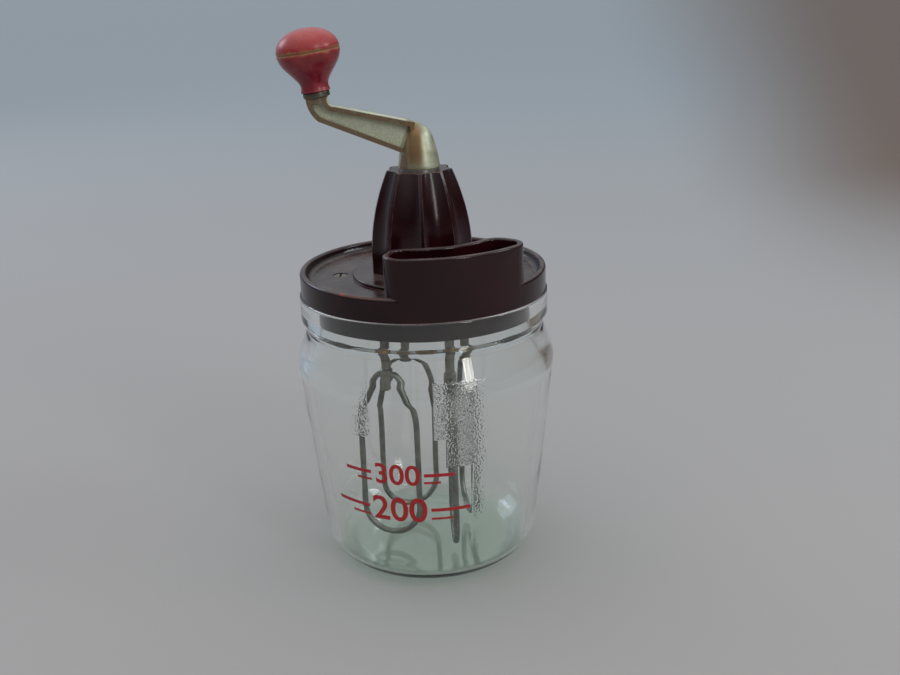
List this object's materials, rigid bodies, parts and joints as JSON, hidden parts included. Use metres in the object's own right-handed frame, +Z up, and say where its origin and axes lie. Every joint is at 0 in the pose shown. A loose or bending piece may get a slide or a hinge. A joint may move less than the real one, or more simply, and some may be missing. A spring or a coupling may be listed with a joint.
{
  "type": "hand cranked mixing jar",
  "caption": "Glass jar with a moulded lid, oil cup, fluted gear tower and cranked wooden knob that spins wire whisks inside the jar",
  "frame": {"origin": "on the jar's axis at the middle of its flat base", "axes": "+Z up along the jar's axis, -Y to the front where the oil cup stands, the crank at rest points to -X"},
  "size_m": [0.111, 0.111, 0.2298],
  "materials": {
    "glass": "pressed, pale green in the thick base",
    "bakelite": "polished dark maroon moulding",
    "brass": "plain bearing brass",
    "steel_plate": "rolled sheet",
    "steel_screw": "turned",
    "steel_rod": "drawn",
    "cast_nickel": "cast and plated, worn",
    "cast_gear": "die cast",
    "tinned_wire": "tinned",
    "painted_wood": "turned, gloss paint, worn"
  },
  "bodies": {
    "jar": {"glass_jar": "glass"},
    "lid": {"lid_body": "bakelite", "upper_bush": "brass", "lower_bush": "brass", "gear_cover": "steel_plate", "whisk_bush_1": "brass", "whisk_bush_2": "brass", "whisk_bush_3": "brass", "whisk_bush_4": "brass", "cover_screws": "steel_screw", "cover_nuts": "steel_screw", "thrust_washer": "steel_plate"},
    "crank": {"crank_shaft": "steel_rod", "crank_arm": "cast_nickel", "hub_screw": "steel_screw", "drive_gear": "cast_gear", "drive_gear_pin": "steel_rod", "shaft_clip": "steel_plate", "knob_collar": "cast_nickel", "knob_pin": "steel_rod", "knob_ring": "steel_rod"},
    "knob": {"knob": "painted_wood"},
    "whisk_1": {"whisk_spindle_1": "steel_rod", "whisk_pinion_1": "cast_gear", "whisk_loop_1": "tinned_wire"},
    "whisk_2": {"whisk_spindle_2": "steel_rod", "whisk_pinion_2": "cast_gear", "whisk_loop_2": "tinned_wire"},
    "whisk_3": {"whisk_spindle_3": "steel_rod", "whisk_pinion_3": "cast_gear", "whisk_loop_3": "tinned_wire"},
    "whisk_4": {"whisk_spindle_4": "steel_rod", "whisk_pinion_4": "cast_gear", "whisk_loop_4": "tinned_wire"}
  },
  "joints": [
    {"name": "lid_lift", "type": "slide", "parent": "jar", "child": "lid", "axis": [0, 0, 1], "range_m": [0, 0.13]},
    {"name": "crank_turn", "type": "hinge", "parent": "lid", "child": "crank", "pos_m": [0, 0, 0.1725], "axis": [0, 0, 1], "continuous": true},
    {"name": "knob_spin", "type": "hinge", "parent": "crank", "child": "knob", "pos_m": [-0.04015, 0, 0.2026], "axis": [-0.1305, 0, 0.9914], "continuous": true},
    {"name": "whisk_spin_1", "type": "hinge", "parent": "lid", "child": "whisk_1", "pos_m": [-0.01749, -0.0097, 0.11], "axis": [0, 0, 1], "continuous": true},
    {"name": "whisk_spin_2", "type": "hinge", "parent": "lid", "child": "whisk_2", "pos_m": [0.0097, -0.01749, 0.11], "axis": [0, 0, 1], "continuous": true},
    {"name": "whisk_spin_3", "type": "hinge", "parent": "lid", "child": "whisk_3", "pos_m": [0.01749, 0.0097, 0.11], "axis": [0, 0, 1], "continuous": true},
    {"name": "whisk_spin_4", "type": "hinge", "parent": "lid", "child": "whisk_4", "pos_m": [-0.0097, 0.01749, 0.11], "axis": [0, 0, 1], "continuous": true}
  ],
  "couplings": [
    {"joint": "whisk_spin_1", "follows": "crank_turn", "ratio": -2.3333},
    {"joint": "whisk_spin_2", "follows": "crank_turn", "ratio": -2.3333},
    {"joint": "whisk_spin_3", "follows": "crank_turn", "ratio": -2.3333},
    {"joint": "whisk_spin_4", "follows": "crank_turn", "ratio": -2.3333}
  ]
}
